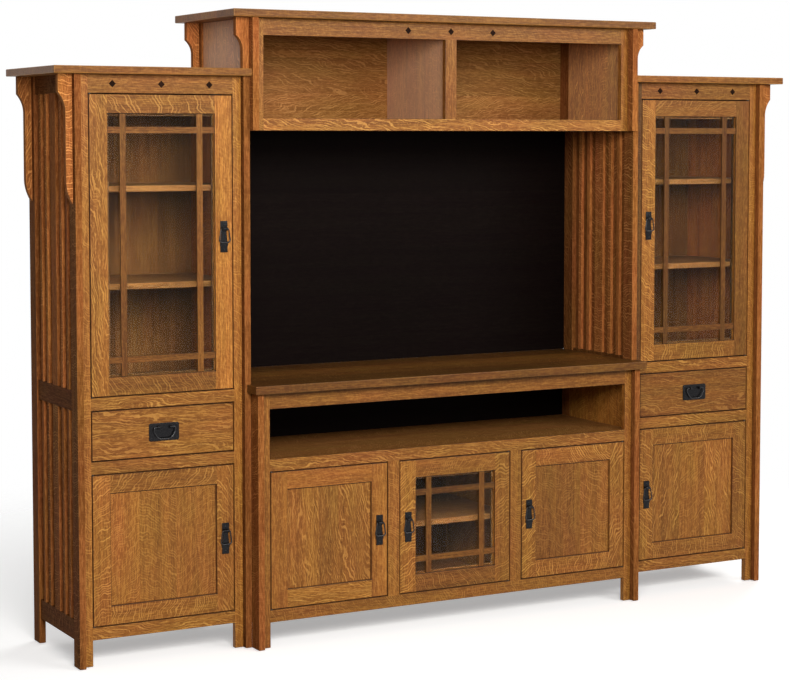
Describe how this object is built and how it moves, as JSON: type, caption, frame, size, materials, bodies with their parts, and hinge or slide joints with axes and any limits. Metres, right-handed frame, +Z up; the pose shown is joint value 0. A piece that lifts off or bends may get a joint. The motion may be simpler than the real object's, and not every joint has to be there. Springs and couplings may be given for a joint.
{
  "type": "entertainment center",
  "caption": "Tall oak entertainment wall: glass-door towers beside a low console, with a cubby bridge above the screen bay.",
  "frame": {"origin": "on the floor, at the middle of the whole unit's footprint", "axes": "+X to the viewer's right along the front, +Y from front to back, +Z up"},
  "size_m": [2.875, 0.53, 2.109],
  "materials": {
    "oak_front": "quarter-sawn oak, warm brown stain, satin lacquer",
    "oak_side": "quarter-sawn oak, warm brown stain, satin lacquer, as it shows on the shaded sides",
    "oak_inside": "oak veneer, warm brown stain, satin",
    "oak_back": "oak plywood, dark stain, matt",
    "glass": "clear float glass",
    "black_iron": "hammered, matt black"
  },
  "bodies": {
    "cabinet": {"bridge_back": "oak_back", "bridge_cubby_case": "oak_front", "bridge_left_side": "oak_side", "bridge_right_side": "oak_side", "bridge_top": "oak_front", "console_back": "oak_back", "console_face_frame": "oak_front", "console_interior": "oak_inside", "console_left_side": "oak_side", "console_right_side": "oak_side", "console_shelf": "oak_inside", "console_top": "oak_front", "left_tower_back": "oak_back", "left_tower_bottom_deck": "oak_inside", "left_tower_drawer_case": "oak_inside", "left_tower_face_frame": "oak_front", "left_tower_inner_side": "oak_side", "left_tower_lower_shelf": "oak_inside", "left_tower_outer_side": "oak_side", "left_tower_top": "oak_front", "left_tower_upper_shelf": "oak_inside", "right_tower_back": "oak_back", "right_tower_bottom_deck": "oak_inside", "right_tower_drawer_case": "oak_inside", "right_tower_face_frame": "oak_front", "right_tower_inner_side": "oak_side", "right_tower_lower_shelf": "oak_inside", "right_tower_outer_side": "oak_side", "right_tower_top": "oak_front", "right_tower_upper_shelf": "oak_inside"},
    "left_glass_door": {"left_glass_door_frame": "oak_front", "left_glass_door_glass": "glass", "left_glass_door_plate": "black_iron"},
    "left_lower_door": {"left_lower_door": "oak_front", "left_lower_door_plate": "black_iron"},
    "right_glass_door": {"right_glass_door_frame": "oak_front", "right_glass_door_glass": "glass", "right_glass_door_plate": "black_iron"},
    "right_lower_door": {"right_lower_door": "oak_front", "right_lower_door_plate": "black_iron"},
    "console_left_door": {"console_left_door": "oak_front", "console_left_door_plate": "black_iron"},
    "console_centre_door": {"console_centre_door_frame": "oak_front", "console_centre_door_glass": "glass", "console_centre_door_plate": "black_iron"},
    "console_right_door": {"console_right_door": "oak_front", "console_right_door_plate": "black_iron"},
    "left_drawer": {"left_drawer": "oak_front", "left_drawer_plate": "black_iron"},
    "right_drawer": {"right_drawer": "oak_front", "right_drawer_plate": "black_iron"},
    "left_glass_door_bail": {"left_glass_door_bail": "black_iron"},
    "left_lower_door_bail": {"left_lower_door_bail": "black_iron"},
    "right_glass_door_bail": {"right_glass_door_bail": "black_iron"},
    "right_lower_door_bail": {"right_lower_door_bail": "black_iron"},
    "console_left_door_bail": {"console_left_door_bail": "black_iron"},
    "console_centre_door_bail": {"console_centre_door_bail": "black_iron"},
    "console_right_door_bail": {"console_right_door_bail": "black_iron"},
    "left_drawer_bail": {"left_drawer_bail": "black_iron"},
    "right_drawer_bail": {"right_drawer_bail": "black_iron"}
  },
  "joints": [
    {"name": "left_glass_door_hinge", "type": "hinge", "parent": "cabinet", "child": "left_glass_door", "pos_m": [-1.307, -0.1655, 0.869], "axis": [0, 0, -1], "range_deg": [0, 100]},
    {"name": "left_lower_door_hinge", "type": "hinge", "parent": "cabinet", "child": "left_lower_door", "pos_m": [-1.307, -0.1655, 0.13], "axis": [0, 0, -1], "range_deg": [0, 100]},
    {"name": "right_glass_door_hinge", "type": "hinge", "parent": "cabinet", "child": "right_glass_door", "pos_m": [1.307, -0.1655, 0.869], "axis": [0, 0, 1], "range_deg": [0, 100]},
    {"name": "right_lower_door_hinge", "type": "hinge", "parent": "cabinet", "child": "right_lower_door", "pos_m": [1.307, -0.1655, 0.13], "axis": [0, 0, 1], "range_deg": [0, 100]},
    {"name": "console_left_door_hinge", "type": "hinge", "parent": "cabinet", "child": "console_left_door", "pos_m": [-0.7057, -0.2195, 0.13], "axis": [0, 0, -1], "range_deg": [0, 100]},
    {"name": "console_centre_door_hinge", "type": "hinge", "parent": "cabinet", "child": "console_centre_door", "pos_m": [0.217, -0.2195, 0.13], "axis": [0, 0, 1], "range_deg": [0, 100]},
    {"name": "console_right_door_hinge", "type": "hinge", "parent": "cabinet", "child": "console_right_door", "pos_m": [0.7057, -0.2195, 0.13], "axis": [0, 0, 1], "range_deg": [0, 100]},
    {"name": "left_drawer_slide", "type": "slide", "parent": "cabinet", "child": "left_drawer", "axis": [0, -1, 0], "range_m": [0, 0.3]},
    {"name": "right_drawer_slide", "type": "slide", "parent": "cabinet", "child": "right_drawer", "axis": [0, -1, 0], "range_m": [0, 0.3]},
    {"name": "left_glass_door_bail_hinge", "type": "hinge", "parent": "left_glass_door", "child": "left_glass_door_bail", "pos_m": [-0.8495, -0.179, 1.3955], "axis": [-1, 0, 0], "range_deg": [0, 80]},
    {"name": "left_lower_door_bail_hinge", "type": "hinge", "parent": "left_lower_door", "child": "left_lower_door_bail", "pos_m": [-0.8495, -0.179, 0.3995], "axis": [-1, 0, 0], "range_deg": [0, 80]},
    {"name": "right_glass_door_bail_hinge", "type": "hinge", "parent": "right_glass_door", "child": "right_glass_door_bail", "pos_m": [0.8495, -0.179, 1.3955], "axis": [-1, 0, 0], "range_deg": [0, 80]},
    {"name": "right_lower_door_bail_hinge", "type": "hinge", "parent": "right_lower_door", "child": "right_lower_door_bail", "pos_m": [0.8495, -0.179, 0.3995], "axis": [-1, 0, 0], "range_deg": [0, 80]},
    {"name": "console_left_door_bail_hinge", "type": "hinge", "parent": "console_left_door", "child": "console_left_door_bail", "pos_m": [-0.3015, -0.233, 0.385], "axis": [-1, 0, 0], "range_deg": [0, 80]},
    {"name": "console_centre_door_bail_hinge", "type": "hinge", "parent": "console_centre_door", "child": "console_centre_door_bail", "pos_m": [-0.1895, -0.233, 0.385], "axis": [-1, 0, 0], "range_deg": [0, 80]},
    {"name": "console_right_door_bail_hinge", "type": "hinge", "parent": "console_right_door", "child": "console_right_door_bail", "pos_m": [0.3015, -0.233, 0.385], "axis": [-1, 0, 0], "range_deg": [0, 80]},
    {"name": "left_drawer_bail_hinge", "type": "hinge", "parent": "left_drawer", "child": "left_drawer_bail", "pos_m": [-1.0645, -0.179, 0.759], "axis": [-1, 0, 0], "range_deg": [0, 80]},
    {"name": "right_drawer_bail_hinge", "type": "hinge", "parent": "right_drawer", "child": "right_drawer_bail", "pos_m": [1.0645, -0.179, 0.759], "axis": [-1, 0, 0], "range_deg": [0, 80]}
  ]
}
